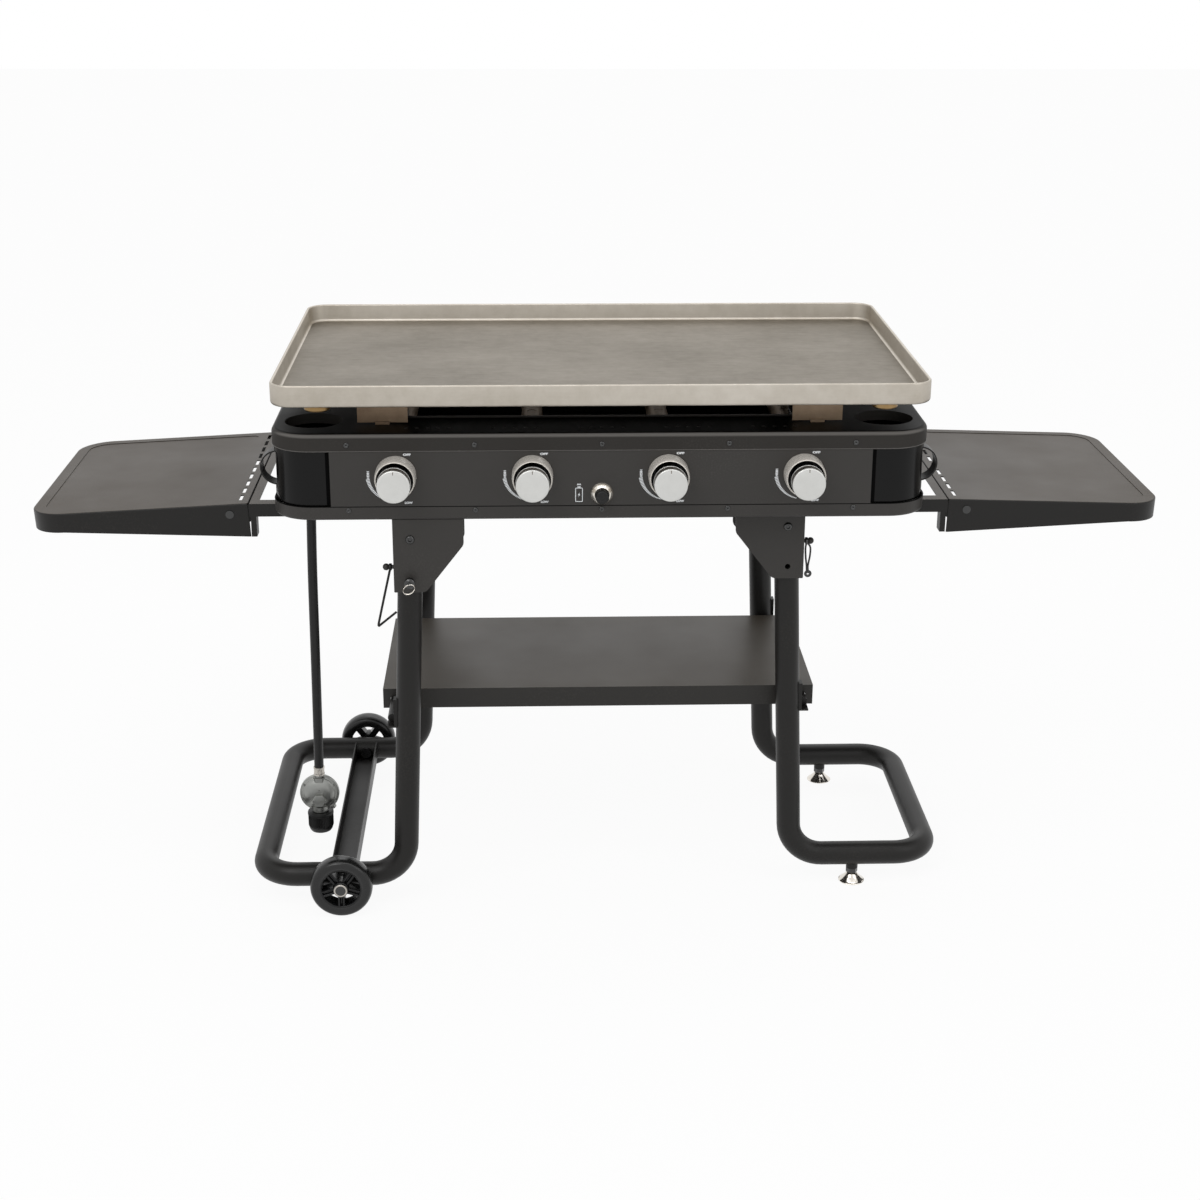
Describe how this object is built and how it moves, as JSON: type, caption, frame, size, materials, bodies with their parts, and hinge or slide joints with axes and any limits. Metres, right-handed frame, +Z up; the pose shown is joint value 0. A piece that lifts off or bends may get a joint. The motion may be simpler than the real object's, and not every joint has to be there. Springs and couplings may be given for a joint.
{
  "type": "outdoor gas griddle station",
  "caption": "Gas griddle with a flat steel plate on a burner body, folding tube legs with wheels, drop side tables, a lower shelf and a hanging gas hose.",
  "frame": {"origin": "on the floor, under the middle of the box round the station", "axes": "+X to the right of someone at the knobs, +Y to the back, +Z up"},
  "size_m": [1.6366, 0.6046, 0.811],
  "materials": {
    "bare_steel": "bare rolled steel, fine brushed",
    "bronzed_steel": "brown heat-coloured steel",
    "brass": "dull brass",
    "black_steel": "satin black powder coat",
    "gloss_black": "glossier black powder coat",
    "black_screw": "black zinc",
    "zinc": "die-cast zinc",
    "ceramic": "white ceramic",
    "black_plastic": "moulded black",
    "wheel_plastic": "moulded gloss black",
    "chrome": "bright chrome",
    "knob_silver": "satin silver face on a dark grip",
    "tyre": "hard black rubber",
    "hose_rubber": "black hose rubber"
  },
  "bodies": {
    "griddle_body": {"griddle_plate": "bare_steel", "plate_support_feet": "bronzed_steel", "plate_corner_pads": "brass", "top_deck": "black_steel", "control_panel": "black_steel", "bottom_pan": "black_steel", "rear_shell": "black_steel", "corner_pod_left": "gloss_black", "corner_pod_right": "gloss_black", "side_handle_left": "black_steel", "side_handle_right": "black_steel", "handle_rivets": "black_steel", "panel_screws": "black_steel", "burners": "bronzed_steel", "gas_manifold": "zinc", "gas_valves": "brass", "spark_electrodes": "ceramic", "igniter_module": "black_plastic", "knob_bezels": "chrome", "igniter_bezel": "chrome", "left_front_bracket": "black_steel", "left_back_bracket": "black_steel", "right_front_bracket": "black_steel", "right_back_bracket": "black_steel", "pivot_bolts": "black_screw", "table_rail_left": "black_steel", "table_rail_right": "black_steel", "table_hinge_pins": "black_screw", "hose_inlet_gland": "brass", "gas_hose": "hose_rubber", "hose_ferrule": "zinc", "regulator": "zinc"},
    "left_legs": {"left_leg_frame": "black_steel", "left_rod_saddles": "black_steel", "axle_beam": "black_steel", "wheel_bolts": "black_screw"},
    "right_legs": {"right_leg_frame": "black_steel", "right_rod_saddles": "black_steel", "foot_lock_nuts": "black_screw"},
    "shelf": {"lower_shelf": "black_steel", "shelf_rods": "black_steel"},
    "left_table": {"left_side_table": "black_steel"},
    "right_table": {"right_side_table": "black_steel"},
    "front_wheel_set": {"front_tyre": "tyre", "front_wheel": "wheel_plastic"},
    "rear_wheel_set": {"rear_tyre": "tyre", "rear_wheel": "wheel_plastic"},
    "front_level_foot": {"front_foot": "chrome"},
    "rear_level_foot": {"rear_foot": "chrome"},
    "igniter_push_button": {"igniter_button": "black_plastic"},
    "left_pull_pin": {"lock_pin_left": "black_screw"},
    "right_pull_pin": {"lock_pin_right": "black_screw"},
    "left_bail": {"wire_bail_left": "black_screw"},
    "right_latch": {"wire_latch_right": "black_screw"},
    "hand_nut": {"connector_nut": "black_plastic"},
    "knob_1_body": {"knob_1": "knob_silver"},
    "knob_2_body": {"knob_2": "knob_silver"},
    "knob_3_body": {"knob_3": "knob_silver"},
    "knob_4_body": {"knob_4": "knob_silver"}
  },
  "joints": [
    {"name": "left_leg_fold", "type": "hinge", "parent": "griddle_body", "child": "left_legs", "pos_m": [-0.2705, 0.0132, 0.583], "axis": [0, -1, 0], "range_deg": [0, 80]},
    {"name": "right_leg_fold", "type": "hinge", "parent": "griddle_body", "child": "right_legs", "pos_m": [0.2705, 0.0132, 0.583], "axis": [0, 1, 0], "range_deg": [0, 80]},
    {"name": "shelf_lift", "type": "slide", "parent": "griddle_body", "child": "shelf", "axis": [0, 0, 1], "range_m": [0, 0.25]},
    {"name": "left_table_fold", "type": "hinge", "parent": "griddle_body", "child": "left_table", "pos_m": [-0.53, 0.0132, 0.604], "axis": [0, -1, 0], "range_deg": [0, 87]},
    {"name": "right_table_fold", "type": "hinge", "parent": "griddle_body", "child": "right_table", "pos_m": [0.53, 0.0132, 0.604], "axis": [0, 1, 0], "range_deg": [0, 88]},
    {"name": "front_wheel_spin", "type": "hinge", "parent": "left_legs", "child": "front_wheel_set", "pos_m": [-0.387, 0.0132, 0.0465], "axis": [0, 1, 0], "continuous": true},
    {"name": "rear_wheel_spin", "type": "hinge", "parent": "left_legs", "child": "rear_wheel_set", "pos_m": [-0.387, 0.0132, 0.0465], "axis": [0, 1, 0], "continuous": true},
    {"name": "front_foot_screw", "type": "slide", "parent": "right_legs", "child": "front_level_foot", "axis": [0, 0, -1], "range_m": [0, 0.012]},
    {"name": "rear_foot_screw", "type": "slide", "parent": "right_legs", "child": "rear_level_foot", "axis": [0, 0, -1], "range_m": [0, 0.012]},
    {"name": "igniter_push", "type": "slide", "parent": "griddle_body", "child": "igniter_push_button", "axis": [0, 1, 0], "range_m": [0, 0.003], "stiffness_N_per_m": 1000, "springref_m": -0.001},
    {"name": "left_pin_pull", "type": "slide", "parent": "griddle_body", "child": "left_pull_pin", "axis": [0, -1, 0], "range_m": [0, 0.015]},
    {"name": "right_pin_pull", "type": "slide", "parent": "griddle_body", "child": "right_pull_pin", "axis": [0, 1, 0], "range_m": [0, 0.015]},
    {"name": "left_bail_swing", "type": "hinge", "parent": "griddle_body", "child": "left_bail", "pos_m": [-0.301, -0.2194, 0.535], "axis": [1, 0, 0], "range_deg": [-25, 25]},
    {"name": "right_latch_swing", "type": "hinge", "parent": "griddle_body", "child": "right_latch", "pos_m": [0.301, -0.1711, 0.554], "axis": [1, 0, 0], "range_deg": [-20, 20]},
    {"name": "hand_nut_turn", "type": "hinge", "parent": "griddle_body", "child": "hand_nut", "pos_m": [-0.43275, -0.08642, 0.07], "axis": [0, 0, 1], "continuous": true},
    {"name": "knob_1_turn", "type": "hinge", "parent": "griddle_body", "child": "knob_1_body", "pos_m": [-0.28745, -0.2453, 0.6774], "axis": [0, -1, 0], "range_deg": [0, 230]},
    {"name": "knob_2_turn", "type": "hinge", "parent": "griddle_body", "child": "knob_2_body", "pos_m": [-0.09715, -0.2453, 0.6774], "axis": [0, -1, 0], "range_deg": [0, 230]},
    {"name": "knob_3_turn", "type": "hinge", "parent": "griddle_body", "child": "knob_3_body", "pos_m": [0.09315, -0.2453, 0.6774], "axis": [0, -1, 0], "range_deg": [0, 230]},
    {"name": "knob_4_turn", "type": "hinge", "parent": "griddle_body", "child": "knob_4_body", "pos_m": [0.28345, -0.2453, 0.6774], "axis": [0, -1, 0], "range_deg": [0, 230]}
  ],
  "couplings": [
    {"joint": "shelf_lift", "follows": "left_leg_fold", "m_per_rad": 0.178}
  ]
}
